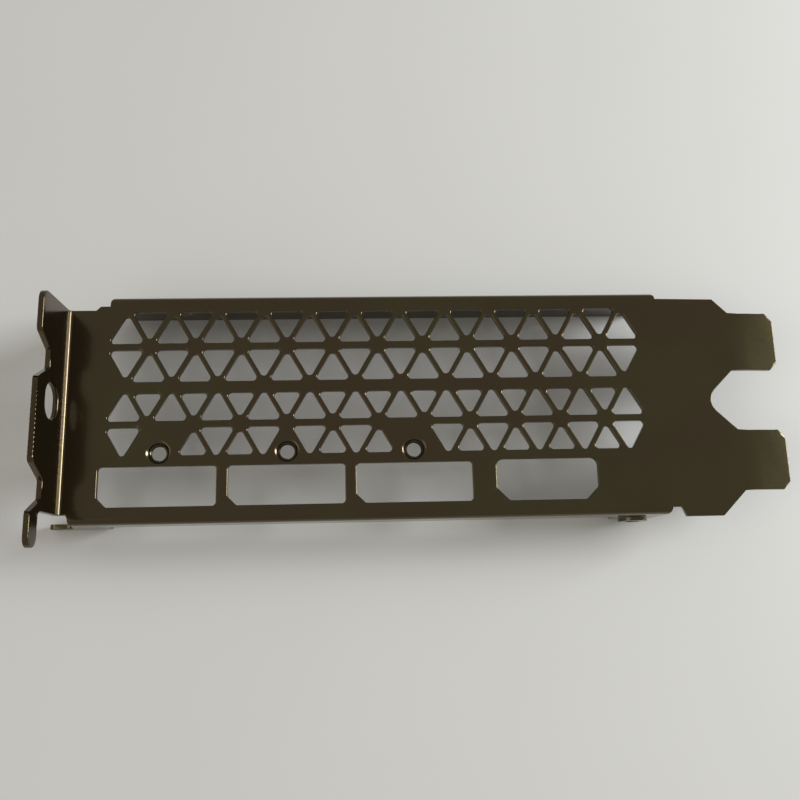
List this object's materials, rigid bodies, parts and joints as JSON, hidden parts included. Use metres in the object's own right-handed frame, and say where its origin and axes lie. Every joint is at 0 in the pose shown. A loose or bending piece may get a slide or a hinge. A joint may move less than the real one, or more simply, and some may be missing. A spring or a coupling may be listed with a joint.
{
  "type": "expansion slot cover bracket",
  "caption": "Double-width slot cover bracket folded from sheet steel, with a triangular vent lattice, connector cut-outs, a notched screw tab and tongues.",
  "frame": {"origin": "middle of the bounding box, on the table that the flanges' lower edges stand on", "axes": "+X from the screw tab towards the tongues, +Y from the port side towards the side away from the ports, +Z out through the plate's outer face"},
  "size_m": [0.1234, 0.0418, 0.0222],
  "materials": {
    "plating": "glossy black nickel plating on steel sheet"
  },
  "bodies": {
    "root": {"bracket": "plating"}
  },
  "joints": []
}
